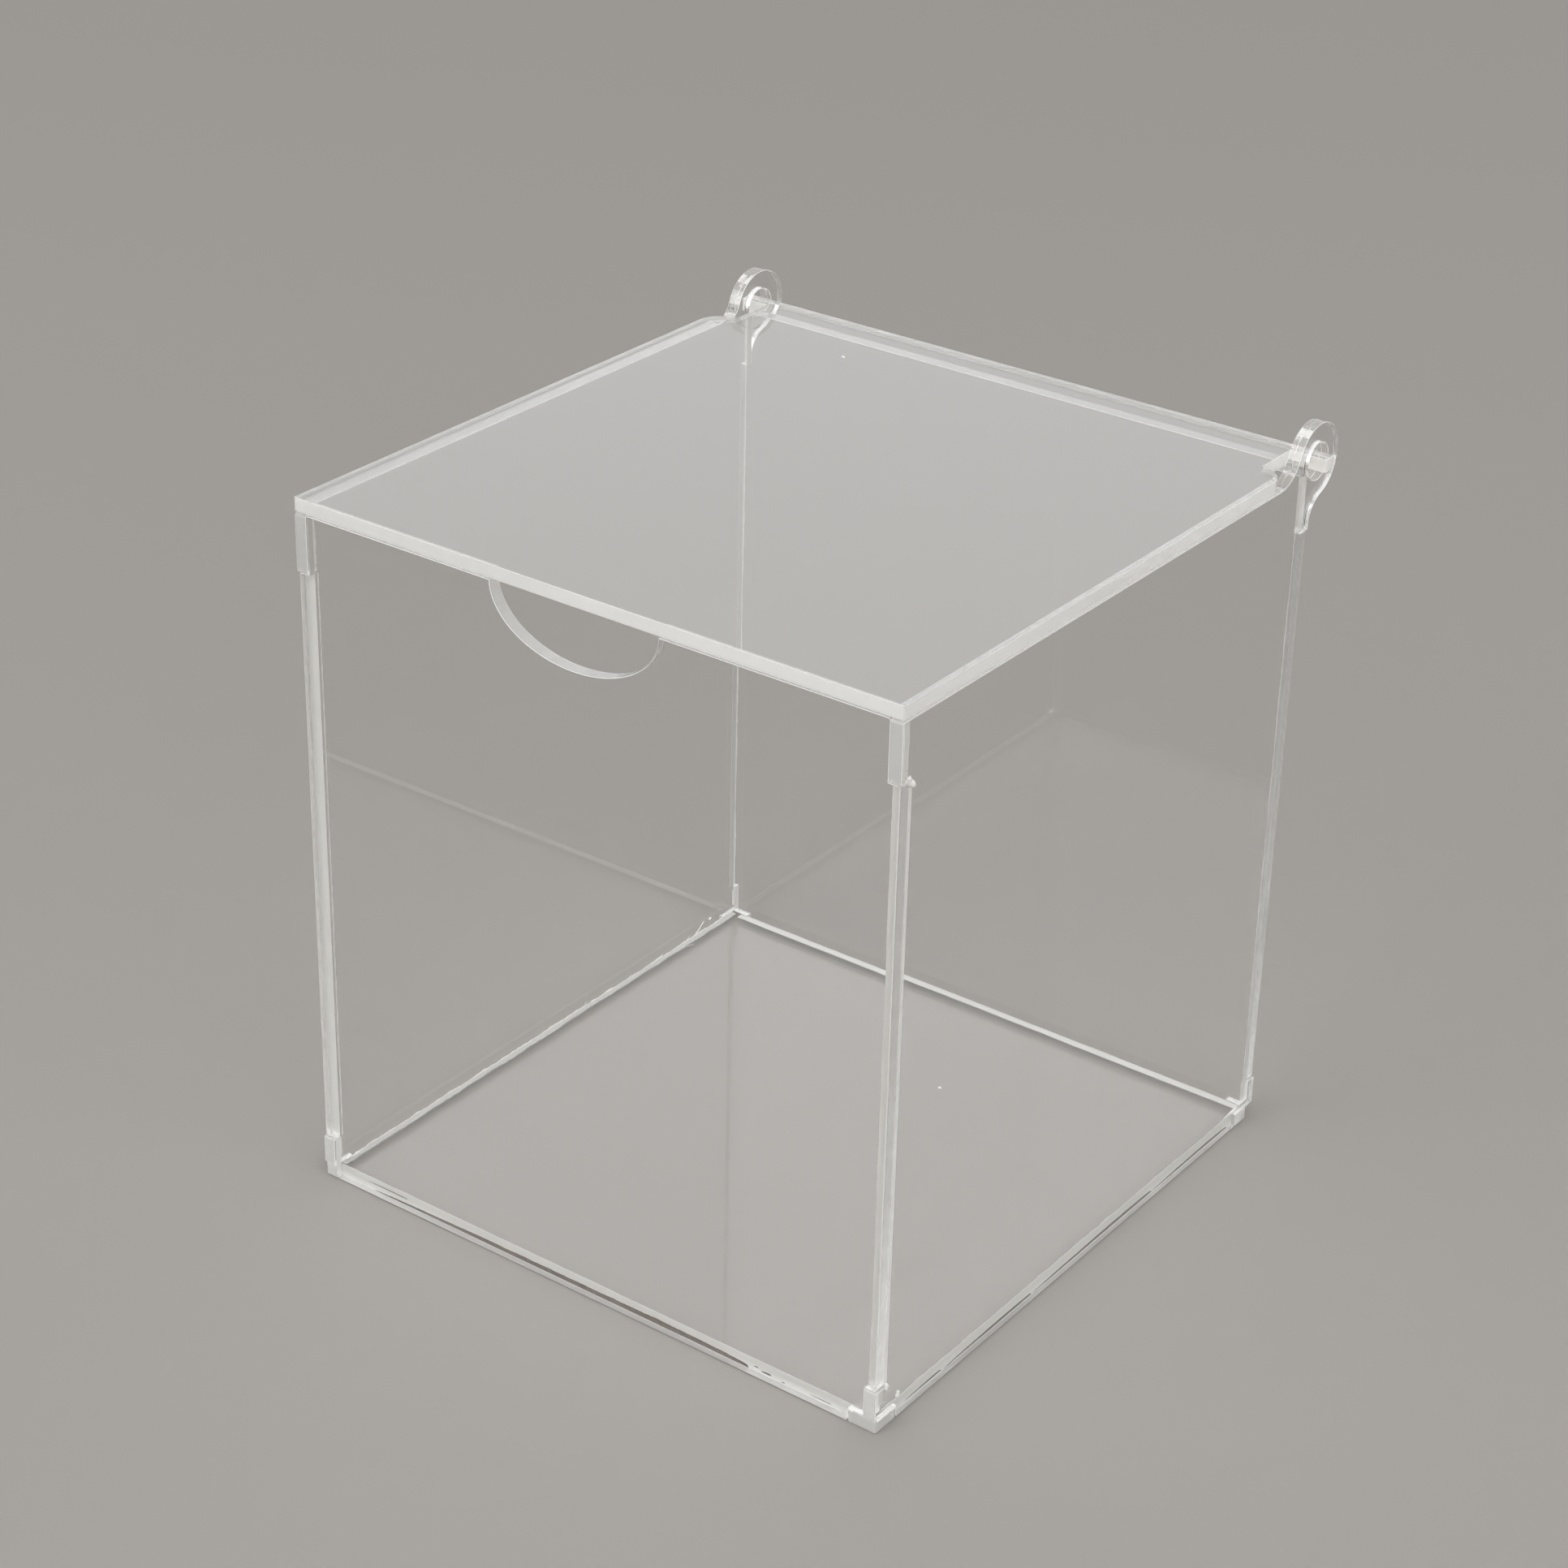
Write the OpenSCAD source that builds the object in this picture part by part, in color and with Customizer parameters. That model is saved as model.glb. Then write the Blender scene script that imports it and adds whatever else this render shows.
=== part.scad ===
// Clear acrylic box with a hinged lid, cut from flat sheet.
// Front, back, sides and base slot together with corner fingers.
// The lid turns on two tabs of its own in round ears on the side walls.
// Origin: centre of the footprint, on the floor. X runs left to right, the front faces -Y, Z is up.

/* [Box] */
// Width over the side walls' outer faces
box_w = 150; // [110:1:260]
// Depth over the front's and the back's outer faces
box_d = 150; // [110:1:260]
// Height of the walls above the floor
wall_h = 160; // [80:1:260]
// Thickness of the sheet that every panel is cut from
sheet_t = 3; // [2:0.5:4]

/* [Corner fingers] */
// Height of the finger at the top of each upright corner
top_finger = 13; // [8:0.5:25]
// Height above the floor where the bottom finger of each upright corner ends
low_finger = 10; // [6:0.5:25]
// How far the side walls' fingers stand proud of the front and the back
finger_proud = 0.3; // [0:0.1:0.4]
// How far the tabs of the front and the back stop short of the side walls' outer faces
tab_shy = 0.4; // [0:0.1:1]
// Width that the cutting beam leaves open along each joint
kerf = 0.1; // [0.05:0.05:0.2]

/* [Base] */
// Length of the arms of the base's corners, which show between the walls' bottom tabs
corner_arm = 7; // [5:0.5:15]
// Length of the arm at the front left corner, along the front
short_arm = 3; // [2:0.5:7]
// Leg of the small nip at the base's back right corner
corner_nip = 2.5; // [0.5:0.5:5]

/* [Finger notch] */
// Width of the notch at the top of the front
notch_w = 42; // [20:1:60]
// Depth of the notch below the top of the front
notch_depth = 13.4; // [6:0.2:20]
// Place of the notch's middle to the right of the box's middle
notch_shift = -2.5; // [-15:0.5:15]

/* [Hinge ears] */
// Diameter of the round ear
ear_d = 17; // [14:0.5:24]
// Diameter of the ear's hole
ear_hole_d = 8.4; // [6.5:0.1:10]
// Distance of the hinge line behind the back's outer face
hinge_back = 2.1; // [1.8:0.1:4]
// Radius of the curve that leads up from the top of the side wall to the ear
ear_front_r = 8; // [3:0.5:14]
// Radius of the curve that leads down from the ear to the back edge of the side wall
ear_back_r = 6; // [1:0.5:8]

/* [Lid] */
// Gap between the lid's underside and the tops of the walls
lid_gap = 0.6; // [0.3:0.1:0.9]
// How far the lid reaches past the front's outer face
lid_lip = 0.4; // [0:0.1:3]
// Width of the lid's hinge tabs
hinge_tab_w = 3.6; // [2.5:0.1:4.5]
// How far the hinge tabs reach out past the ears
hinge_tab_out = 2.7; // [1:0.1:8]
// Space between the ear's inner face and the lid's cut-out
cutout_side = 3; // [0.5:0.1:6]
// Space between the ear's front curve and the lid's cut-out
cutout_front = 0.9; // [0.5:0.1:4]
// Radius of the lid's rounded corner in front of each ear
lid_corner_r = 6; // [3:0.1:7]

/* [Hidden] */
$fn = 96;
// How far a cut runs past the face that it cuts
overrun = 1;
half_w = box_w / 2;
half_d = box_d / 2;
inner_w = half_w - sheet_t;
inner_d = half_d - sheet_t;
arm_x = half_w - corner_arm;
arm_y = half_d - corner_arm;
tab_top = wall_h - top_finger - kerf;
tab_bottom = low_finger + kerf;
sheet_top = sheet_t + kerf;
finger_y = half_d + finger_proud;
hinge_y = half_d + hinge_back;
lid_bottom = wall_h + lid_gap;
hinge_z = lid_bottom + sheet_t / 2;
ear_r = ear_d / 2;
lid_back = hinge_y + hinge_tab_w / 2;
notch_steps = 72;
clear_tint = [0.93, 0.95, 0.95, 0.4];

// How far each blending circle dips into the two edges that it joins, so that it meets them cleanly
blend_dip = 0.02;
// Centre of the circle that rounds the wall's top into the ear
front_reach = ear_r + ear_front_r - blend_dip;
front_curve_z = wall_h + ear_front_r - blend_dip;
front_curve_y = hinge_y - sqrt(pow(front_reach, 2) - pow(front_curve_z - hinge_z, 2));
// Centre of the circle that rounds the ear into the wall's back edge
back_reach = ear_r + ear_back_r - blend_dip;
back_curve_y = finger_y + ear_back_r - blend_dip;
back_curve_z = hinge_z - sqrt(pow(back_reach, 2) - pow(back_curve_y - hinge_y, 2));
// The lid's cut-out starts in front of the ear's curve, measured at the height of the lid's underside
curve_at_lid = front_curve_y + sqrt(pow(ear_front_r, 2) - pow(ear_front_r - lid_gap, 2));
cutout_y = curve_at_lid - cutout_front;
cutout_x = inner_w - cutout_side;

// A rectangle given by its two opposite corners
module span(low, high) {
    translate(low) square(high - low);
}

// Point on the ear's rim that faces the centre of a curve
function rim_point(c) =
    [hinge_y, hinge_z] + (c - [hinge_y, hinge_z]) * ear_r / norm(c - [hinge_y, hinge_z]);

// Stands an outline drawn in Y and Z upright, as a sheet from x to x + sheet_t
module sheet_facing_x(x) {
    translate([x, 0, 0]) rotate([90, 0, 90]) linear_extrude(sheet_t) children();
}

// Stands an outline drawn in X and Z upright, as a sheet from y - sheet_t to y
module sheet_facing_y(y) {
    translate([0, y, 0]) rotate([90, 0, 0]) linear_extrude(sheet_t) children();
}

// Outline of a side wall in Y and Z: fingers at the corners, a tab through the base, the hinge ear.
// Straight webs join the round ear to the wall, and the two curves are cut out of them.
module side_outline() {
    front_curve = [front_curve_y, front_curve_z];
    back_curve = [back_curve_y, back_curve_z];
    hinge = [hinge_y, hinge_z];
    edge_y = inner_d - kerf;
    tab_y = arm_y - kerf;
    finger_z = wall_h - top_finger;
    difference() {
        union() {
            polygon([[-tab_y, 0], [tab_y, 0], [tab_y, sheet_top], [finger_y, sheet_top],
                     [finger_y, low_finger], [edge_y, low_finger], [edge_y, finger_z],
                     [finger_y, finger_z], [finger_y, back_curve_z], rim_point(back_curve),
                     hinge, rim_point(front_curve), [front_curve_y, wall_h],
                     [-finger_y, wall_h], [-finger_y, finger_z], [-edge_y, finger_z],
                     [-edge_y, low_finger], [-finger_y, low_finger], [-finger_y, sheet_top],
                     [-tab_y, sheet_top]]);
            translate(hinge) circle(ear_r);
        }
        translate(front_curve) circle(ear_front_r);
        translate(back_curve) circle(ear_back_r);
        translate(hinge) circle(d = ear_hole_d);
    }
}

// Outline of the front or the back in X and Z, with its bottom tab from tab_low to tab_high
module end_outline(tab_low, tab_high) {
    span([kerf - inner_w, sheet_top], [inner_w - kerf, wall_h]);
    span([tab_shy - half_w, tab_bottom], [half_w - tab_shy, tab_top]);
    span([tab_low + kerf, 0], [tab_high - kerf, low_finger]);
}

// Half an ellipse, open at the top, with its straight side above the top of the wall
module notch_outline() {
    translate([notch_shift, wall_h])
        polygon(concat([[notch_w / 2, overrun], [-notch_w / 2, overrun]],
                       [for (i = [0 : notch_steps]) let (a = 180 + 180 * i / notch_steps)
                           [notch_w / 2 * cos(a), notch_depth * sin(a)]]));
}

module base_panel() {
    edge_y = inner_d - kerf;
    edge_x = inner_w - kerf;
    color(clear_tint) linear_extrude(sheet_t) difference() {
        span([-half_w, -half_d], [half_w, half_d]);
        span([short_arm - half_w, -half_d - overrun], [arm_x, -edge_y]);
        span([-arm_x, edge_y], [arm_x, half_d + overrun]);
        span([-half_w - overrun, -arm_y], [-edge_x, arm_y]);
        span([edge_x, -arm_y], [half_w + overrun, arm_y]);
        polygon([[half_w - corner_nip, half_d], [half_w, half_d - corner_nip],
                 [half_w + overrun, half_d - corner_nip], [half_w + overrun, half_d + overrun],
                 [half_w - corner_nip, half_d + overrun]]);
    }
}

module front_panel() {
    color(clear_tint) sheet_facing_y(sheet_t - half_d) difference() {
        end_outline(short_arm - half_w, arm_x);
        notch_outline();
    }
}

module back_panel() {
    color(clear_tint) sheet_facing_y(half_d) end_outline(-arm_x, arm_x);
}

module left_side_panel() {
    color(clear_tint) sheet_facing_x(-half_w) side_outline();
}

module right_side_panel() {
    color(clear_tint) sheet_facing_x(inner_w) side_outline();
}

// Outline of the lid in X and Y: full width as far as its rounded corners in front of the ears,
// narrower between the ears, and at the back the bar whose ends are the hinge tabs
module lid_outline() {
    round_x = half_w - lid_corner_r;
    round_y = cutout_y - lid_corner_r;
    tab_end = half_w + hinge_tab_out;
    span([-half_w, -half_d - lid_lip], [half_w, round_y]);
    span([-round_x, -half_d], [round_x, cutout_y]);
    for (side = [-1, 1]) translate([side * round_x, round_y]) circle(lid_corner_r);
    span([-cutout_x, -half_d], [cutout_x, lid_back]);
    span([-tab_end, lid_back - hinge_tab_w], [tab_end, lid_back]);
}

module lid() {
    color(clear_tint) translate([0, 0, lid_bottom]) linear_extrude(sheet_t) lid_outline();
}

base_panel();
front_panel();
back_panel();
left_side_panel();
right_side_panel();
lid();
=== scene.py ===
"""Clear acrylic box with a hinged lid, dressed for rendering.

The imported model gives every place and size. Each of the six cut sheets is drawn again as one closed
surface with softened rims, so that light runs through it and shows at its cut edges as in cast acrylic.
Lengths are in millimetres until mesh_from() turns them into metres.
"""
import math

import bpy
import numpy as np
from mathutils import Matrix, Vector, geometry


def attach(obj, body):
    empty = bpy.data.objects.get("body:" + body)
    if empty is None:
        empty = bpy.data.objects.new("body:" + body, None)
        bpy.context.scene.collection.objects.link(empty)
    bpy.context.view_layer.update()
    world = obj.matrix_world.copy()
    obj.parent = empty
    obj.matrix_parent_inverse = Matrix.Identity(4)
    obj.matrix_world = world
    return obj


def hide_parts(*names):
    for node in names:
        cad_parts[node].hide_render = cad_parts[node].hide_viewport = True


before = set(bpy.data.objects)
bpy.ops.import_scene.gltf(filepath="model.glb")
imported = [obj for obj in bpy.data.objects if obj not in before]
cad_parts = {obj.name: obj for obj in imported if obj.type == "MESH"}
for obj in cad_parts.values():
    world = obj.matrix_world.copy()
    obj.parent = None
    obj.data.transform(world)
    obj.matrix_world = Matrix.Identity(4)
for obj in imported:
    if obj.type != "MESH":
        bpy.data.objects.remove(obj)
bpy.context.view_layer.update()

MM = 0.001

# Sizes of the box, in millimetres, the same as those of the solids
HALF = 75.0                # half the width and half the depth over the walls
WALL = 160.0               # top of the walls
SHEET = 3.0                # thickness of the sheet
KERF = 0.1                 # gap that the laser leaves along a joint
INNER = HALF - SHEET       # inner face of the walls
EDGE = INNER - KERF        # cuts that butt against a wall's inner face
ON_BASE = SHEET + KERF     # lower edge of what stands on the base
ARM = HALF - 7.0           # where the base's corner arms begin
SHORT_ARM = HALF - 3.0     # where the arm begins that lies along the front at the left
NIP = 2.5                  # leg of the nip at the base's back right corner
FINGER_TOP = WALL - 13.0   # underside of the top fingers
FINGER_LOW = 10.0          # top of the bottom fingers
PROUD = HALF + 0.3         # ends of the side walls' fingers
SHY = HALF - 0.4           # ends of the front's and the back's tabs
NOTCH_X, NOTCH_HALF, NOTCH_DEEP = -2.5, 21.0, 13.4

# The hinge and the lid, in millimetres
LID_GAP = 0.6              # space between the walls' tops and the lid
LID_LOW = WALL + LID_GAP   # the lid's underside
HINGE_Y, HINGE_Z = HALF + 2.1, LID_LOW + SHEET / 2
EAR_R, EAR_HOLE_R = 8.5, 4.2
FRONT_CURVE_R, BACK_CURVE_R = 8.0, 6.0
FRONT_CURVE_Z = WALL + FRONT_CURVE_R
FRONT_CURVE_Y = HINGE_Y - math.sqrt((EAR_R + FRONT_CURVE_R) ** 2 - (FRONT_CURVE_Z - HINGE_Z) ** 2)
LID_FRONT = HALF + 0.4
LID_BACK = HINGE_Y + 1.8
TAB_W, TAB_END = 3.6, HALF + 2.7
CUTOUT_X = INNER - 3.0
CUTOUT_GAP = 0.9           # space between the lid's cut-out and the ear's front curve
LID_CORNER_R = 6.0         # the lid's corners in front of the ears
LID_NOSE_R = 0.5           # the lid's two front corners

# What the laser's heat and the cement do to the sheets, in millimetres
RIM_R = 0.12               # softened rims of a sheet
MELT_R = 0.5               # melted outer corners of a sheet
FILM, FILM_RIM = 0.06, 0.015  # thickness of the dried cement, and its rims
FILM_STEP = 0.3            # distance between two points along a film's border
LIFT = 0.02                # space between a film and the sheet that it lies on
AIR, AIR_RIM = 0.01, 0.002    # thickness of the air left in a dry joint, and its rims
TOUCH = 1e-6               # two lengths that differ by less are the same

ACRYLIC_IOR = 1.49

# Kinds of a sheet's faces, which are also the numbers of its material slots. STRAIGHT is a free straight
# cut, RIM a softened rim or a foot that stands on the floor, CURVED a curved cut or the end of a tab, and
# BUTTED a cut that butts against another sheet
FACE, STRAIGHT, RIM, CURVED, BUTTED = range(5)


def arc(cx, cy, r, start, end, step=3.0):
    """Points of a circle's arc: (cx + r cos a, cy + r sin a), a running from start to end degrees."""
    count = max(2, int(abs(end - start) / step) + 1)
    a = np.radians(np.linspace(start, end, count))
    return np.stack([cx + r * np.cos(a), cy + r * np.sin(a)], 1)


def joined(*parts):
    """One closed outline from single points and arcs, with doubled points left out."""
    points = np.concatenate([np.atleast_2d(np.asarray(p, float)) for p in parts])
    gap = np.linalg.norm(points - np.roll(points, 1, 0), axis=1)
    return points[gap > TOUCH]


def side_wall_outline():
    """Side wall in Y and Z. The ear is a circle about the hinge line. Each blend is an arc that touches the
    ear where the line of centres crosses it: centre distance = sum of the radii."""
    back_y = PROUD + BACK_CURVE_R
    back_z = HINGE_Z - math.sqrt((EAR_R + BACK_CURVE_R) ** 2 - (back_y - HINGE_Y) ** 2)
    to_front = math.degrees(math.atan2(FRONT_CURVE_Z - HINGE_Z, FRONT_CURVE_Y - HINGE_Y))
    to_back = math.degrees(math.atan2(back_z - HINGE_Z, back_y - HINGE_Y))
    tab = ARM - KERF
    outer = joined(
        [-tab, 0], [tab, 0], [tab, ON_BASE], [PROUD, ON_BASE], [PROUD, FINGER_LOW], [EDGE, FINGER_LOW],
        [EDGE, FINGER_TOP], [PROUD, FINGER_TOP],
        arc(back_y, back_z, BACK_CURVE_R, 180, 180 + to_back),
        arc(HINGE_Y, HINGE_Z, EAR_R, to_back, to_front),
        arc(FRONT_CURVE_Y, FRONT_CURVE_Z, FRONT_CURVE_R, to_front - 180, -90),
        [-PROUD, WALL], [-PROUD, FINGER_TOP], [-EDGE, FINGER_TOP], [-EDGE, FINGER_LOW],
        [-PROUD, FINGER_LOW], [-PROUD, ON_BASE], [-tab, ON_BASE])
    return [outer, arc(HINGE_Y, HINGE_Z, EAR_HOLE_R, 0, -360, 5.0)[:-1]]


def end_wall_outline(low, high, notch):
    """Front or back wall in X and Z, its bottom tab from low to high. The notch is half an ellipse:
    x = centre + half width * cos a, z = wall top - depth * sin a."""
    tab_low, tab_top = FINGER_LOW + KERF, FINGER_TOP - KERF
    a = np.linspace(0, math.pi, 73)
    bow = np.stack([NOTCH_X + NOTCH_HALF * np.cos(a), WALL - NOTCH_DEEP * np.sin(a)], 1)
    return [joined(
        [low, 0], [high, 0], [high, ON_BASE], [EDGE, ON_BASE], [EDGE, tab_low], [SHY, tab_low],
        [SHY, tab_top], [EDGE, tab_top], [EDGE, WALL], *([bow] if notch else []),
        [-EDGE, WALL], [-EDGE, tab_top], [-SHY, tab_top], [-SHY, tab_low],
        [-EDGE, tab_low], [-EDGE, ON_BASE], [low, ON_BASE])]


def base_outline():
    """Base in X and Y: a square with recesses for the walls' tabs, so that only its corner arms reach
    outside."""
    return [joined(
        [-HALF, -HALF], [-SHORT_ARM, -HALF], [-SHORT_ARM, -EDGE], [ARM, -EDGE], [ARM, -HALF], [HALF, -HALF],
        [HALF, -ARM], [EDGE, -ARM], [EDGE, ARM], [HALF, ARM], [HALF, HALF - NIP], [HALF - NIP, HALF],
        [ARM, HALF], [ARM, EDGE], [-ARM, EDGE], [-ARM, HALF], [-HALF, HALF], [-HALF, ARM], [-EDGE, ARM],
        [-EDGE, -ARM], [-HALF, -ARM])]


def lid_outline():
    """Lid in X and Y: rounded corners in front of the ears, and a bar at the back whose ends are the tabs.
    The cut-outs' front is measured from the ears' front curve, at the height of the lid's underside."""
    reach = math.sqrt(FRONT_CURVE_R ** 2 - (FRONT_CURVE_R - LID_GAP) ** 2)
    cut = FRONT_CURVE_Y + reach - CUTOUT_GAP
    rx, ry = HALF - LID_CORNER_R, cut - LID_CORNER_R
    nose_x, nose_y = HALF - LID_NOSE_R, LID_FRONT - LID_NOSE_R
    tab = LID_BACK - TAB_W
    return [joined(
        arc(-nose_x, -nose_y, LID_NOSE_R, 180, 270, 15), arc(nose_x, -nose_y, LID_NOSE_R, -90, 0, 15),
        arc(rx, ry, LID_CORNER_R, 0, 90), [CUTOUT_X, cut], [CUTOUT_X, tab], [TAB_END, tab],
        [TAB_END, LID_BACK], [-TAB_END, LID_BACK], [-TAB_END, tab], [-CUTOUT_X, tab], [-CUTOUT_X, cut],
        arc(-rx, ry, LID_CORNER_R, 90, 180))]


def eased(loop, r):
    """The loop with its outer corners melted round: each becomes an arc of radius r that touches both
    edges, from r tan(turn / 2) before the corner to as far past it. Slight turns and short edges stay."""
    least_turn, least_edge = 0.6, 2.2 * r
    ahead = np.roll(loop, -1, 0) - loop
    length = np.linalg.norm(ahead, axis=1)
    leaving = ahead / length[:, None]
    coming = np.roll(leaving, 1, 0)
    inward = np.stack([-coming[:, 1], coming[:, 0]], 1)
    turn = np.arctan2(np.sum(inward * leaving, 1), np.sum(coming * leaving, 1))
    corner = (turn > least_turn) & (np.minimum(length, np.roll(length, 1)) > least_edge)
    centre = loop + r * inward - r * np.tan(np.where(corner, turn, 0) / 2)[:, None] * coming
    a = turn[:, None, None] * np.linspace(0, 1, 6)[None, :, None]
    bend = centre[:, None] - r * (inward[:, None] * np.cos(a) - coming[:, None] * np.sin(a))
    return joined(np.where(corner[:, None, None], bend, loop[:, None]).reshape(-1, 2))


def inset(loop, amount):
    """The loop moved into its own sheet by amount, each corner along its mitre:
    p + amount (n1 + n2) / (1 + n1.n2)."""
    ahead = np.roll(loop, -1, 0) - loop
    ahead /= np.linalg.norm(ahead, axis=1, keepdims=True)
    n2 = np.stack([-ahead[:, 1], ahead[:, 0]], 1)
    n1 = np.roll(n2, 1, 0)
    return loop + amount * (n1 + n2) / (1 + np.sum(n1 * n2, 1, keepdims=True))


def edge_profile(thick, rim):
    """A slab's edge as points (way in, depth): a quarter-round of radius rim at each face, with a straight
    cut between them. Also gives how many bands each quarter-round has. A film needs fewer of them."""
    is_sheet = thick > 1
    turn = np.radians([90, 60, 30, 0] if is_sheet else [90, 0])
    near = np.stack([rim * (1 - np.cos(turn)), rim * (1 - np.sin(turn))], 1)
    middle = np.linspace(rim, thick - rim, 5 if is_sheet else 2)[1:-1]
    straight = np.stack([np.zeros(len(middle)), middle], 1)
    far = np.stack([near[::-1, 0], thick - near[::-1, 1]], 1)
    return np.concatenate([near, straight, far]), len(near) - 1


def along(on_line):
    """Whether each segment runs along a line on which both its ends lie."""
    return np.any(on_line & np.roll(on_line, -1, 0), axis=1)


def cut_kinds(loop, side, round_cuts):
    """The kind of cut at each of the loop's segments, whose lengths are side. The ears' and holes' arcs
    have segments of 0.3 to 0.45 mm, longer than a melted corner's and shorter than any straight edge."""
    curved = round_cuts & (side > 0.25) & (side < 0.9)
    tab_end = along(np.abs(np.abs(loop[:, :1]) - SHY) < TOUCH)
    butted = along(np.abs(np.abs(loop) - EDGE) < TOUCH)
    foot = along(np.abs(loop[:, 1:]) < TOUCH)
    return np.select([curved | tab_end, butted, foot], [CURVED, BUTTED, RIM], STRAIGHT)


def bands(n, rings):
    """Quads between rings of n points that lie one behind the other: each quad's place round its ring, the
    ring's number, and the quad's four corners."""
    i, k = (grid.ravel() for grid in np.meshgrid(np.arange(n), np.arange(rings - 1)))
    j = (i + 1) % n
    return i, k, np.stack([k * n + i, k * n + j, (k + 1) * n + j, (k + 1) * n + i], 1)


def slab(loops, thick, rim, round_cuts=False):
    """A flat slab bounded by loops, as points (a, b, depth), faces, kinds and UVs. The edge's profile is
    carried round each loop, and the two faces are filled. The UVs hold the way along the cut and the depth
    in the slab."""
    profile, bends = edge_profile(thick, rim)
    rings = len(profile)
    verts, quads, kinds, uvs, caps, start = [], [], [], [], [], 0
    for loop in loops:
        n = len(loop)
        for way_in, depth in profile:
            verts.append(np.concatenate([inset(loop, way_in), np.full((n, 1), depth)], 1))
        i, k, quad = bands(n, rings)
        quads.append(quad + start)
        side = np.linalg.norm(np.roll(loop, -1, 0) - loop, axis=1)
        rim_faces = (k < bends) | (k >= rings - 1 - bends)
        kinds.append(np.where(rim_faces, RIM, cut_kinds(loop, side, round_cuts)[i]))
        way = np.concatenate([[0], np.cumsum(side)])
        u0, u1, v0, v1 = way[i], way[i + 1], profile[k, 1], profile[k + 1, 1]
        uvs.append(np.stack([u0, v0, u1, v0, u1, v1, u0, v1], 1).reshape(-1, 2))
        caps.append(start + np.arange(n))
        start += n * rings
    flat = np.concatenate(verts)
    rims = [[Vector((*flat[v, :2], 0)) for v in cap] for cap in caps]
    tris = np.array(geometry.tessellate_polygon(rims))
    lower = np.concatenate(caps)[tris]
    upper = lower + np.concatenate([np.full(len(cap), len(cap) * (rings - 1)) for cap in caps])[tris]
    p, q, r = (flat[lower[:, corner], :2] for corner in range(3))
    if np.sum(np.linalg.det(np.stack([q - p, r - p], 1))) > 0:
        lower = lower[:, ::-1]
    else:
        upper = upper[:, ::-1]
    faces = np.concatenate(quads).tolist() + lower.tolist() + upper.tolist()
    kind = np.concatenate([*kinds, np.full(len(lower) + len(upper), FACE)])
    uv = np.concatenate([*uvs, flat[lower.ravel(), :2], flat[upper.ravel(), :2]])
    return flat, faces, kind, uv


def mesh_from(name, xyz, faces, kind=None, uv=None, smooth=30):
    """A mesh object from points in millimetres. The polished faces shade flat, and others that meet at less
    than smooth degrees shade as one surface."""
    mesh = bpy.data.meshes.new(name)
    mesh.from_pydata((np.asarray(xyz) * MM).tolist(), [], faces)
    if kind is not None:
        mesh.polygons.foreach_set("material_index", np.asarray(kind, np.int32))
    if uv is not None:
        layer = mesh.uv_layers.new(name="cut")
        layer.data.foreach_set("uv", (np.asarray(uv) * MM).astype(np.float32).ravel())
    mesh.set_sharp_from_angle(angle=math.radians(smooth))
    if kind is not None:
        flat = mesh.attributes.new("sharp_face", "BOOLEAN", "FACE")
        flat.data.foreach_set("value", np.asarray(kind) == FACE)
    mesh.update()
    piece = bpy.data.objects.new(name, mesh)
    bpy.context.scene.collection.objects.link(piece)
    return piece


def outward(piece):
    """Turns a closed surface's faces outwards if the volume that they enclose comes out negative."""
    mesh = piece.data
    mesh.calc_loop_triangles()
    co = np.zeros(len(mesh.vertices) * 3)
    mesh.vertices.foreach_get("co", co)
    tri = np.zeros(len(mesh.loop_triangles) * 3, np.int32)
    mesh.loop_triangles.foreach_get("vertices", tri)
    p = co.reshape(-1, 3)[tri.reshape(-1, 3)]
    if np.sum(p[:, 0] * np.cross(p[:, 1], p[:, 2])) < 0:
        mesh.flip_normals()
    return piece


def upright_x(outer, sign):
    """Places a slab drawn in Y and Z with its outer face at x = outer; depth runs inwards."""
    return lambda a, b, depth: np.stack([outer - sign * depth, a, b], 1)


def upright_y(outer, sign):
    """Places a slab drawn in X and Z with its outer face at y = outer; depth runs inwards."""
    return lambda a, b, depth: np.stack([a, outer - sign * depth, b], 1)


def level(low):
    """Places a slab drawn in X and Y with its underside at z = low."""
    return lambda a, b, depth: np.stack([a, b, low + depth], 1)


def cut_sheet(name, loops, place):
    """One cut sheet as a closed surface, with softened rims and melted outer corners. place(a, b, depth)
    gives X, Y and Z."""
    loops = [eased(loops[0], MELT_R), *loops[1:]]
    flat, faces, kind, uv = slab(loops, SHEET, RIM_R, name in ("left_sheet", "right_sheet"))
    return outward(mesh_from(name, place(*flat.T), faces, kind, uv))


def turned_out(xyz, faces):
    """The faces of a closed shell, turned round if the volume that they enclose comes out negative."""
    p = xyz - xyz.mean(0)
    a, b, c, d = (p[[face[k] for face in faces]] for k in (0, 1, 2, -1))
    volume = np.sum(a * np.cross(b, c)) + np.sum(a * np.cross(c, d))
    return faces if volume > 0 else [face[::-1] for face in faces]


def one_piece(name, shells, kinds=None, smooth=30):
    """One mesh object from several closed shells, each given as its points and its faces."""
    points, faces, count = [], [], 0
    for xyz, own_faces in shells:
        faces += [[v + count for v in face] for face in turned_out(xyz, own_faces)]
        points.append(xyz)
        count += len(xyz)
    return mesh_from(name, np.concatenate(points), faces, kinds, smooth=smooth)


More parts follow.
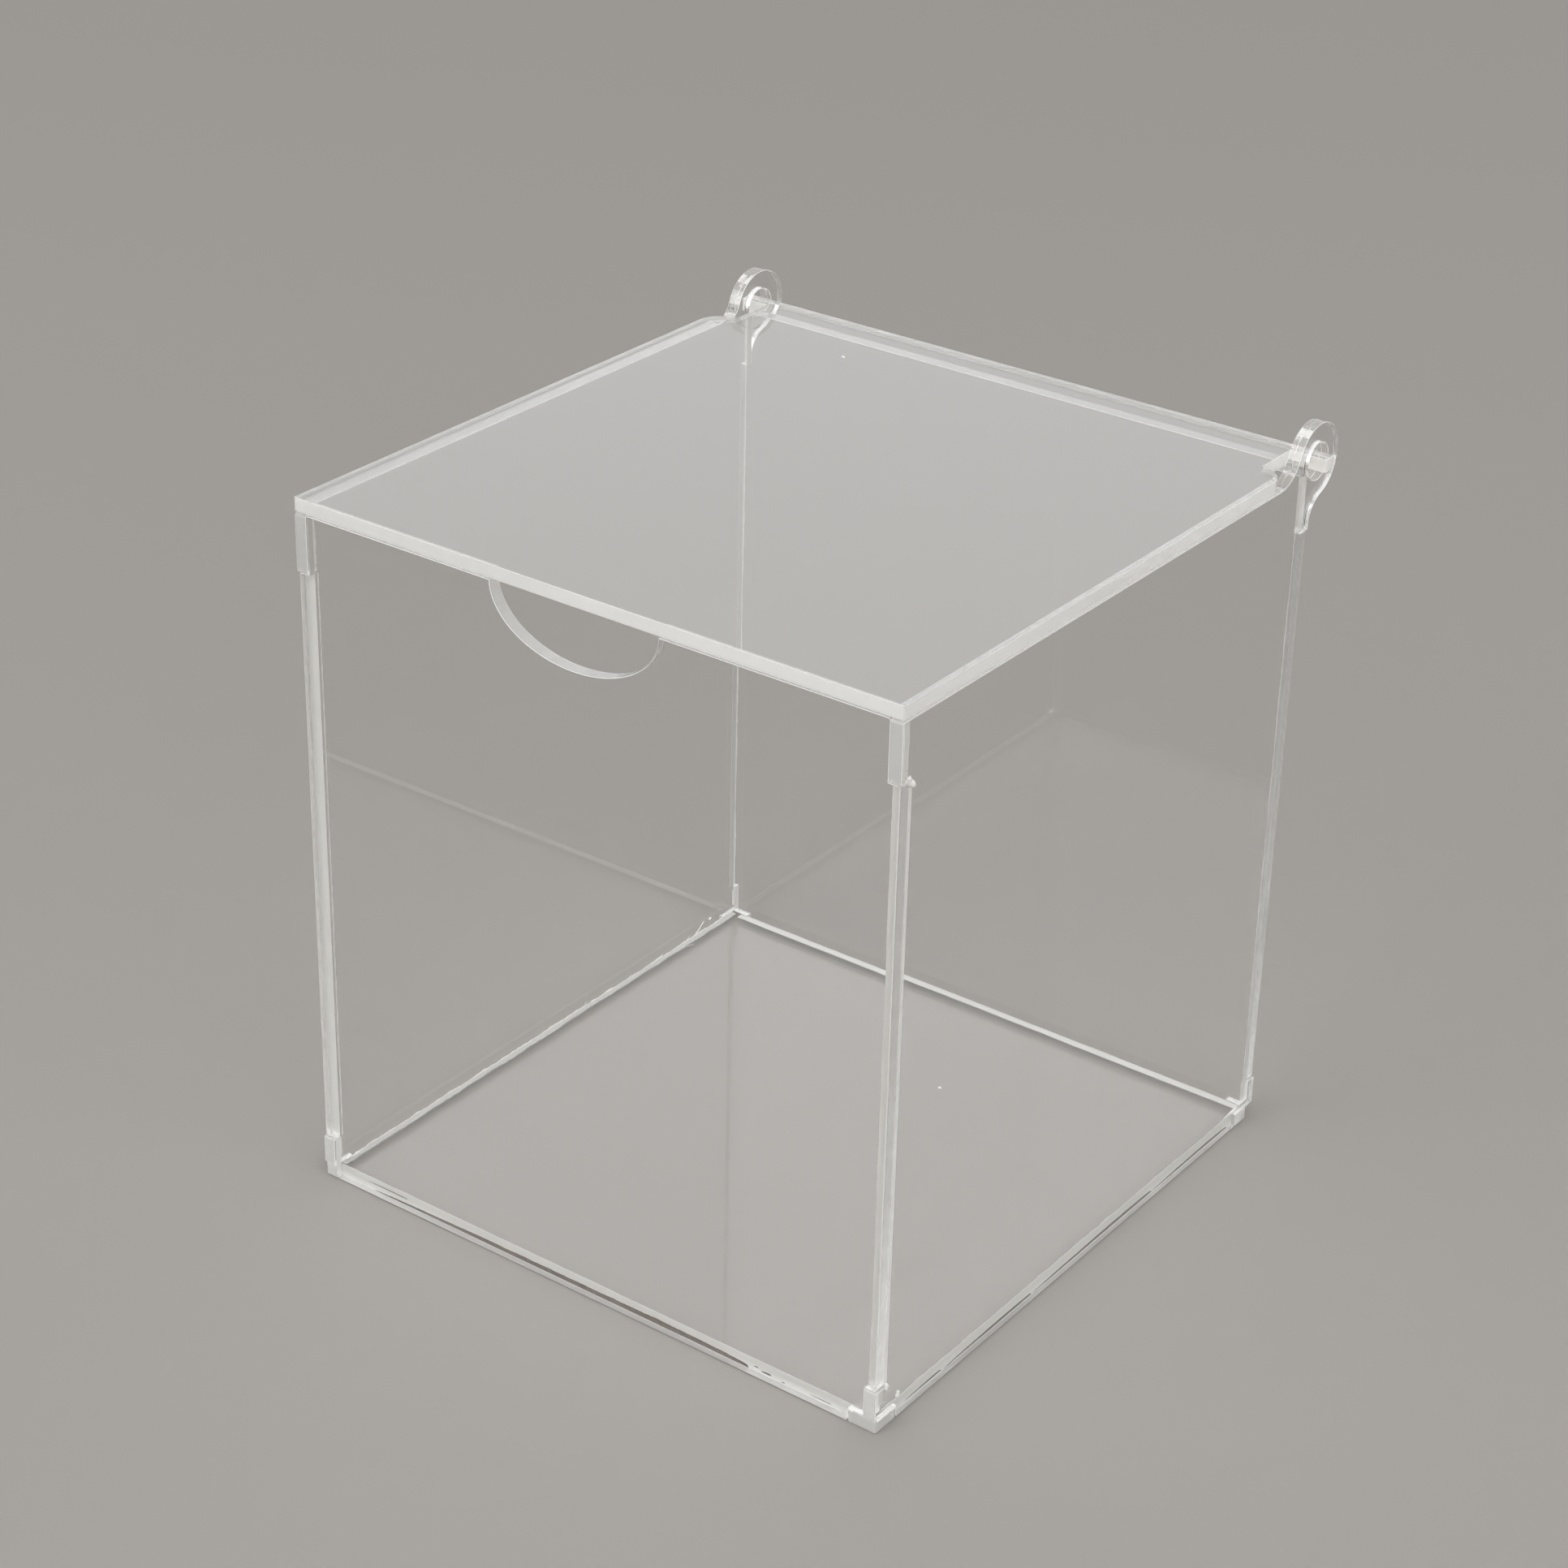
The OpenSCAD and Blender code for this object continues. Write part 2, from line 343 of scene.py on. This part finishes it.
def ragged(a, seed, coarse=10.0):
    """Uneven border along a, from 0 to 1: value noise in three octaves, each with a quarter of the last
    one's pitch, raised to a power so that it stays low and peaks here and there."""
    rng = np.random.default_rng(seed)
    octaves = ((coarse, 1.0), (coarse / 4, 0.6), (coarse / 16, 0.5))
    total = np.zeros(len(a))
    for pitch, weight in octaves:
        knots = np.arange(a.min() - pitch, a.max() + 2 * pitch, pitch)
        total += weight * np.interp(a, knots, rng.random(len(knots)))
    return (total / sum(weight for _, weight in octaves)) ** 1.4


def film_loop(low, high, outer, inner, spill, seed):
    """Outline of a film of cement, from low to high along the joint. It starts at outer and runs past inner
    by up to spill, with a ragged border on both sides. A wide spill has finer lobes."""
    a = np.linspace(low, high, max(6, int((high - low) / FILM_STEP)))
    way = 1 if inner > outer else -1
    waver, lobes = 0.06, 3.0 if spill > 0.6 else 10.0
    near = outer + way * waver * ragged(a, seed + 1)
    far = inner + way * spill * ragged(a, seed + 2, lobes)
    far[[0, -1]] = inner
    loop = np.concatenate([np.stack([a, near], 1), np.stack([a, far], 1)[::-1]])
    return loop if way > 0 else loop[::-1]


def cement_films():
    """Solvent cement as it dries in the joints: films in the gaps between the sheets, which spill a little
    way over the walls' inner faces, and ribbons on the base's top. All the films are one piece."""
    # Each film: the face that it lies on, whether it runs along the second of that face's axes, from and to
    # along the joint, outer and inner border, how far it may spill past the inner one, and 1 for a smear
    films = []
    upright = (FINGER_LOW + 0.2, FINGER_TOP - 0.2)
    for side in (-1, 1):
        wall = upright_x(side * (INNER - LIFT), side)
        for end in (-1, 1):
            across = upright_y(end * (INNER - LIFT), end)
            spill = 0.3 if end < 0 else 0.5
            smear = 1 if (side, end) == (-1, -1) else 0
            inner, proud = end * (INNER - 0.5), end * (HALF - 0.3)
            films += [
                (across, True, *upright, side * (SHY - 0.1), side * INNER, spill, smear),
                (wall, True, FINGER_TOP + 1.6, WALL - 0.2, end * (INNER + 0.7), inner, 0.5, 0),
                (wall, True, SHEET + 2.0, FINGER_LOW - 0.2, end * (INNER + 0.7), inner, 0.5, 0),
                (wall, True, FINGER_TOP + 0.2, FINGER_TOP + 1.5, proud, inner, 0.5, 0)]
        spill = 0.8 if side < 0 else 0.7
        films += [
            (wall, False, 0.4 - ARM, ARM - 0.4, LIFT, SHEET + 0.15, spill, 1),
            (wall, False, 0.2 - INNER, 0.3 - ARM, SHEET + 0.06, SHEET + 0.15, spill, 0),
            (wall, False, ARM - 0.3, INNER - 0.2, SHEET + 0.06, SHEET + 0.15, spill, 0)]
    front, back = upright_y(LIFT - INNER, -1), upright_y(INNER - LIFT, 1)
    left, on_base = upright_x(LIFT - INNER, -1), level(SHEET + LIFT)
    films += [
        (front, False, 0.4 - SHORT_ARM, ARM - 0.4, LIFT, SHEET + 0.1, 0.25, 1),
        (back, False, 0.4 - ARM, ARM - 0.4, 0.3, SHEET + 0.1, 0.3, 0),
        (on_base, True, 0.5 - INNER, INNER - 0.5, LIFT - INNER, 1.0 - INNER, 0.7, 0),
        (on_base, False, 2.5 - INNER, INNER - 0.5, INNER - LIFT, INNER - 1.7, 0.3, 1),
        (left, True, *upright, 0.8 - INNER, 1.1 - INNER, 0.2, 0)]
    shells, kinds = [], []
    for seed, (place, second, *run, smear) in enumerate(films):
        flat, faces, _, _ = slab([film_loop(*run, 10 * seed)], FILM, FILM_RIM)
        a, b, depth = flat.T
        shells.append((place(b, a, depth) if second else place(a, b, depth), faces))
        kinds += [smear] * len(faces)
    return one_piece("cement_films", shells, kinds, smooth=5)


def painted_shade_streaks():
    """Where the cement didn't reach, air stays between the base's cut and a wall. Each streak is painted
    shade:
    a long lens, a thin closed slab just behind the wall's inner face, dark where the shade under the box
    shows through the joint. Its height along the joint is tall t^0.55 (1 - t)^0.2 / 0.63 with a little
    noise. All the streaks are one piece."""
    front, right = upright_y(AIR / 2 - INNER, -1), upright_x(INNER - AIR / 2, 1)
    # Each streak: wall, from and to along the joint, height above the floor, and how tall it is
    streaks = [
        (front, -62.0, 42.0, 0.05, 1.25),
        (front, 43.2, 44.4, 1.1, 0.25),
        (front, 45.0, 47.8, 0.5, 0.45),
        (front, 50.2, 51.2, 0.3, 0.25),
        (front, 57.5, 63.0, 0.6, 0.16),
        (front, -64.0, -52.0, 1.7, 0.2),
        (right, -63.0, -50.0, 0.5, 0.45),
        (right, -49.0, -16.0, 0.25, 0.7),
        (right, -15.6, 33.0, 0.25, 0.75),
        (right, 33.5, 66.0, 0.25, 0.65),
    ]
    step, blunt, pitch = 0.4, 0.03, 8.0
    shells = []
    for seed, (place, first, last, foot, tall) in enumerate(streaks):
        t = np.linspace(0, 1, max(8, int((last - first) / step)))
        way = t * (last - first)
        swell = t ** 0.55 * (1 - t) ** 0.2 / 0.63 + blunt
        height = tall * swell * (0.85 + 0.3 * ragged(way, 500 + seed, pitch))
        low = foot + 0.1 * ragged(way, 600 + seed, pitch)
        edge = np.stack([first + way, low], 1)
        loop = np.concatenate([edge, np.stack([edge[:, 0], low + height], 1)[::-1]])
        flat, faces, _, _ = slab([loop], AIR, AIR_RIM)
        shells.append((place(*flat.T), faces))
    return one_piece("painted_shade_streaks", shells)


def cement_beads(name, runs):
    """Drops and runs of cement squeezed out of the joints: tubes about a slightly winding spine, of uneven
    radius r (0.6 + 0.8 noise) sqrt(1 - (2 t - 1)^8), so that both ends close. All of them are one piece."""
    step, thinnest = 0.25, 0.02
    turn = np.radians(np.arange(0, 360, 36))
    n = len(turn)
    shells = []
    for seed, (start, end, r) in enumerate(runs):
        start, end = np.array(start, float), np.array(end, float)
        length = np.linalg.norm(end - start)
        steps = max(9, int(length / step))
        t = np.linspace(0, 1, steps)
        size = r * (0.6 + 0.8 * ragged(t * length, 200 + seed, 1.5)) * np.sqrt(1 - (2 * t - 1) ** 8)
        size = np.maximum(size, thinnest)
        way = (end - start) / length
        n1 = np.cross(way, [0, 0, 1.0] if abs(way[2]) < 0.9 else [1.0, 0, 0])
        n1 /= np.linalg.norm(n1)
        n2 = np.cross(way, n1)
        wander = np.stack([ragged(t * length, 300 + seed, 2.0), ragged(t * length, 400 + seed, 2.0)])
        wander *= max(0.25 * r, 0.12)
        spine = start + np.outer(t, end - start) + np.outer(wander[0], n1) + np.outer(wander[1], n2)
        lump = 1 + 0.18 * np.random.default_rng(100 + seed).standard_normal((steps, n))
        spoke = np.cos(turn)[:, None] * n1 + np.sin(turn)[:, None] * n2
        rings = spine[:, None] + (size[:, None] * lump)[..., None] * spoke
        quads = bands(n, steps)[2]
        ends = [np.arange(n)[::-1], (steps - 1) * n + np.arange(n)]
        shells.append((rings.reshape(-1, 3), [face.tolist() for face in (*quads, *ends)]))
    return one_piece(name, shells, smooth=70)


def colour(hex_code):
    """An sRGB hex value as the linear colour that a shader takes."""
    s = np.array([int(hex_code[i:i + 2], 16) / 255 for i in (1, 3, 5)])
    return (*np.where(s <= 0.04045, s / 12.92, ((s + 0.055) / 1.055) ** 2.4), 1.0)


def node(tree, kind, links=(), **settings):
    """Adds a shader node. settings are its properties or, by name with _ for a space, its inputs. links
    join (output socket, input name) pairs."""
    new = tree.nodes.new(kind)
    for key, value in settings.items():
        if hasattr(new, key):
            setattr(new, key, value)
        else:
            new.inputs[key.replace("_", " ")].default_value = value
    for source, name in links:
        tree.links.new(source, new.inputs[name])
    return new


def material(name):
    """An empty node material with its output and its Principled shader."""
    mat = bpy.data.materials.new(name)
    mat.use_nodes = True
    mat.node_tree.nodes.clear()
    tree = mat.node_tree
    shader = node(tree, "ShaderNodeBsdfPrincipled")
    node(tree, "ShaderNodeOutputMaterial", [(shader.outputs[0], "Surface")])
    return mat, tree, shader


def polished_acrylic():
    """Cast acrylic sheet as it comes off its paper: glass-clear and mirror-smooth, so that it shows its
    surroundings faintly, with wipe marks some 22 mm across that blur them a little."""
    mat, tree, shader = material("polished_acrylic")
    shader.inputs["Base Color"].default_value = colour("#fdfdfd")
    shader.inputs["Transmission Weight"].default_value = 1.0
    shader.inputs["IOR"].default_value = ACRYLIC_IOR
    place = node(tree, "ShaderNodeTexCoord").outputs["Object"]
    wipe = node(tree, "ShaderNodeTexNoise", [(place, "Vector")], Scale=45.0, Detail=3.0, Roughness=0.55)
    rough = node(tree, "ShaderNodeMapRange", [(wipe.outputs["Fac"], "Value")],
                 From_Min=0.45, From_Max=0.75, To_Min=0.0, To_Max=0.03)
    tree.links.new(rough.outputs[0], shader.inputs["Roughness"])
    return mat


def laser_cut_edge(name, clear, rough, depth, dry=None):
    """The laser's cut through acrylic: flame-smooth but rippled, milky where it scatters the light that the
    sheet carries to it. Ripples run across the sheet, about 0.6 mm apart. clear is the share that passes
    unscattered. dry is the colour of the streaks, some 8 mm by 0.8 mm, that the cement left unwetted on a
    glued cut."""
    milky = colour("#fbfaf8")
    mat, tree, shader = material(name)
    shader.inputs["Base Color"].default_value = milky
    shader.inputs["Transmission Weight"].default_value = clear
    shader.inputs["IOR"].default_value = ACRYLIC_IOR
    shader.inputs["Roughness"].default_value = rough
    way = node(tree, "ShaderNodeUVMap", uv_map="cut").outputs[0]
    across = node(tree, "ShaderNodeMapping", [(way, "Vector")], Scale=(1700.0, 120.0, 1.0))
    ripple = node(tree, "ShaderNodeTexNoise", [(across.outputs[0], "Vector")], Scale=1.0, Detail=2.0)
    bump = node(tree, "ShaderNodeBump", [(ripple.outputs["Fac"], "Height")],
                Strength=depth, Distance=0.0001)
    tree.links.new(bump.outputs[0], shader.inputs["Normal"])
    if dry:
        lengthwise = node(tree, "ShaderNodeMapping", [(way, "Vector")], Scale=(120.0, 1200.0, 1.0))
        streak = node(tree, "ShaderNodeTexNoise", [(lengthwise.outputs[0], "Vector")],
                      Scale=1.0, Detail=3.0)
        wet = node(tree, "ShaderNodeMapRange", [(streak.outputs["Fac"], "Value")],
                   From_Min=0.38, From_Max=0.5)
        tint = node(tree, "ShaderNodeMixRGB", [(wet.outputs[0], "Fac")], Color1=colour(dry), Color2=milky)
        tree.links.new(tint.outputs[0], shader.inputs["Base Color"])
    return mat


def dried_cement(name, clear):
    """Solvent cement dried in a joint: whitish and partly see-through, with blisters some 0.7 mm apart that
    make it glint. clear is the share of light that passes it unscattered."""
    mat, tree, shader = material(name)
    shader.inputs["Base Color"].default_value = colour("#f7f6f3")
    shader.inputs["Transmission Weight"].default_value = clear
    shader.inputs["IOR"].default_value = 1.45
    shader.inputs["Roughness"].default_value = 0.3
    place = node(tree, "ShaderNodeTexCoord").outputs["Object"]
    blister = node(tree, "ShaderNodeTexNoise", [(place, "Vector")], Scale=1500.0, Detail=2.0)
    bump = node(tree, "ShaderNodeBump", [(blister.outputs["Fac"], "Height")],
                Strength=0.4, Distance=0.0001)
    tree.links.new(bump.outputs[0], shader.inputs["Normal"])
    return mat


def painted_shade_joint():
    """Painted shade for the air in a joint that the cement didn't wet: dull and dark brown, with a grain of
    about 1 mm.
    """
    mat, tree, shader = material("painted_shade_joint")
    shader.inputs["Roughness"].default_value = 0.7
    place = node(tree, "ShaderNodeTexCoord").outputs["Object"]
    grain = node(tree, "ShaderNodeTexNoise", [(place, "Vector")], Scale=900.0, Detail=2.0)
    # Two dark browns of painted shade, for the shade that shows through the joint
    tint = node(tree, "ShaderNodeMixRGB", [(grain.outputs["Fac"], "Fac")],
                Color1=colour("#3a332d"), Color2=colour("#76695c"))
    tree.links.new(tint.outputs[0], shader.inputs["Base Color"])
    return mat


# Finishes of the sheets: the polished faces, and the cuts by how the laser and the cement left them
polished = polished_acrylic()
lid_cut = laser_cut_edge("laser_cut_lid", 0.5, 0.2, 0.5)
straight_cut = laser_cut_edge("laser_cut_edge", 0.65, 0.15, 0.3)
cut_rim = laser_cut_edge("laser_cut_rim", 0.3, 0.3, 0.1)
round_cut = laser_cut_edge("laser_cut_ear", 0.9, 0.08, 0.5)
tab_cut = laser_cut_edge("laser_cut_tab", 0.75, 0.2, 0.15)
glued_cut = laser_cut_edge("cemented_cut", 0.35, 0.3, 0.2)
glued_base = laser_cut_edge("cemented_base_cut", 0.1, 0.4, 0.4, "#c8c6c2")

front_outline = end_wall_outline(KERF - SHORT_ARM, ARM - KERF, True)
back_outline = end_wall_outline(KERF - ARM, ARM - KERF, False)
sheets = {
    "base_panel": ("base_sheet", base_outline(), level(0.0), "box"),
    "front_panel": ("front_sheet", front_outline, upright_y(-HALF, -1), "box"),
    "back_panel": ("back_sheet", back_outline, upright_y(HALF, 1), "box"),
    "left_side_panel": ("left_sheet", side_wall_outline(), upright_x(-HALF, -1), "box"),
    "right_side_panel": ("right_sheet", side_wall_outline(), upright_x(HALF, 1), "box"),
    "lid": ("lid_sheet", lid_outline(), level(LID_LOW), "lid"),
}
for panel, (name, loops, place, body) in sheets.items():
    piece = cut_sheet(name, loops, place)
    free = lid_cut if panel in ("lid", "base_panel") else straight_cut
    curved = round_cut if "side" in panel else tab_cut
    butted = glued_base if panel == "base_panel" else glued_cut
    for finish in (polished, free, cut_rim, curved, butted):
        piece.data.materials.append(finish)
    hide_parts(panel)
    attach(piece, body)

# The drops and runs that the photograph shows: start, end and radius
squeezed_out = [
    ([HALF, -HALF + 0.2, 3.1], [HALF, -ARM - 0.1, 3.1], 0.42),
    ([ARM + 0.3, -HALF, 3.1], [ARM + 1.6, -HALF, 3.1], 0.25),
    ([HALF, -INNER - 0.9, FINGER_TOP - 0.1], [HALF, -INNER + 0.3, FINGER_TOP - 0.1], 0.75),
    ([HALF, -INNER - 1.6, FINGER_TOP + 0.9], [HALF, -INNER - 0.5, FINGER_TOP + 1.2], 0.5),
    ([HALF, -INNER + 0.1, FINGER_LOW - 1.0], [HALF, -INNER + 0.1, FINGER_LOW + 0.9], 0.4),
    ([-INNER + 0.2, -ARM - 2.3, 3.4], [-INNER + 0.2, -ARM - 0.7, 3.9], 0.36),
    ([-INNER + 0.2, -ARM - 0.5, 3.2], [-INNER + 0.2, -ARM + 2.4, 3.2], 0.15),
    ([-INNER + 0.1, 55.6, 3.2], [-INNER + 0.1, 59.6, 5.9], 0.1),
    ([-INNER + 0.1, 61.6, 5.4], [-INNER + 0.1, 62.5, 5.7], 0.2),
    ([-INNER + 0.1, 51.5, 3.1], [-INNER + 0.1, 54.0, 4.1], 0.07),
    ([-INNER + 0.1, 41.0, 3.1], [-INNER + 0.1, 43.0, 4.2], 0.07),
    ([-INNER + 0.1, 12.0, 3.1], [-INNER + 0.1, 13.6, 4.3], 0.08),
    ([-INNER + 1.0, 49.0, 3.06], [-INNER + 2.2, 53.0, 3.06], 0.07),
    ([HALF, -ARM + 0.1, 4.9], [HALF, -ARM + 0.5, 6.5], 0.5),
    ([12.9, 35.0, 3.1], [13.7, 35.4, 3.1], 0.33),
    ([INNER - 0.2, INNER - 1.0, 3.2], [INNER - 0.2, INNER - 7.0, 3.2], 0.3),
]
on_lid = [([-36.0, 59.7, LID_LOW + SHEET], [-35.0, 59.2, LID_LOW + SHEET], 0.3)]
film = dried_cement("cement_film", 0.65)
smear = dried_cement("cement_smear", 0.45)
bead = dried_cement("cement_bead", 0.1)
trims = [
    (cement_films(), (film, smear), "box"),
    (cement_beads("cement_beads", squeezed_out), (bead,), "box"),
    (cement_beads("lid_speck", on_lid), (bead,), "lid"),
    # The dark streaks and their finish are painted shade
    (painted_shade_streaks(), (painted_shade_joint(),), "box"),
]
for piece, finishes, body in trims:
    for finish in finishes:
        piece.data.materials.append(finish)
    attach(piece, body)


def studio_floor():
    """A plain matt floor, wide enough to fill the picture, and just below the base so that they don't
    touch."""
    reach, drop = 6.0, -0.0002
    corners = [(-reach, -reach, drop), (reach, -reach, drop), (reach, reach, drop), (-reach, reach, drop)]
    mesh = bpy.data.meshes.new("studio_floor")
    mesh.from_pydata(corners, [], [(0, 1, 2, 3)])
    floor = bpy.data.objects.new("studio_floor", mesh)
    bpy.context.scene.collection.objects.link(floor)
    mat, _, shader = material("matt_floor")
    shader.inputs["Base Color"].default_value = colour("#a39f9b")
    shader.inputs["Roughness"].default_value = 0.9
    shader.inputs["Specular IOR Level"].default_value = 0.1
    mesh.materials.append(mat)


def sky():
    """Even light from all round, and plain white where a mirror or the glass-clear sheet shows it."""
    world = bpy.data.worlds.new("studio")
    bpy.context.scene.world = world
    world.use_nodes = True
    tree = world.node_tree
    tree.nodes.clear()
    ray = node(tree, "ShaderNodeLightPath").outputs
    seen = node(tree, "ShaderNodeMath", [(ray["Is Camera Ray"], 0), (ray["Is Glossy Ray"], 1)],
                operation="MAXIMUM")
    seen = node(tree, "ShaderNodeMath", [(seen.outputs[0], 0), (ray["Is Transmission Ray"], 1)],
                operation="MAXIMUM")
    power = node(tree, "ShaderNodeMapRange", [(seen.outputs[0], "Value")], To_Min=0.75, To_Max=1.0)
    back = node(tree, "ShaderNodeBackground", [(power.outputs[0], "Strength")], Color=colour("#ffffff"))
    node(tree, "ShaderNodeOutputWorld", [(back.outputs[0], "Surface")])


def softbox(name, place, aim, width, power):
    """A square area lamp that faces aim."""
    lamp = bpy.data.lights.new(name, "AREA")
    lamp.size, lamp.energy = width, power
    obj = bpy.data.objects.new(name, lamp)
    obj.location = place
    obj.rotation_euler = (Vector(aim) - Vector(place)).to_track_quat("-Z", "Y").to_euler()
    bpy.context.scene.collection.objects.link(obj)


def camera():
    """The photograph's camera, from the box's own edges: turned 36.0 degrees to the right of straight on,
    27.8 degrees down, and rolled by 1.4 degrees."""
    az, el, roll = math.radians(35.991), math.radians(27.768), math.radians(1.359)
    back = Vector((math.sin(az) * math.cos(el), -math.cos(az) * math.cos(el), math.sin(el)))
    right = Vector((math.cos(az), math.sin(az), 0))
    up = back.cross(right)
    rx = right * math.cos(roll) + up * math.sin(roll)
    ry = up * math.cos(roll) - right * math.sin(roll)
    data = bpy.data.cameras.new("camera")
    data.lens, data.sensor_width = 80.608, 36.0
    obj = bpy.data.objects.new("camera", data)
    turn = Matrix((rx, ry, back)).transposed().to_4x4()
    obj.matrix_world = Matrix.Translation((0.38885, -0.5436, 0.44387)) @ turn
    bpy.context.scene.collection.objects.link(obj)
    bpy.context.scene.camera = obj


studio_floor()
sky()
softbox("key_softbox", (1.5, -0.5, 0.8), (0, 0, 0.08), 1.5, 9.5)
softbox("fill_softbox", (-0.7, -1.9, 1.0), (0, 0, 0.08), 1.9, 18.0)
camera()
view = bpy.context.scene.view_settings
view.view_transform = "Standard"
# Light has to pass many cuts and faces before it leaves the box, and a mirror's image stays sharp
cycles = bpy.context.scene.cycles
cycles.max_bounces, cycles.glossy_bounces, cycles.transmission_bounces = 48, 48, 48
cycles.blur_glossy = 0.0
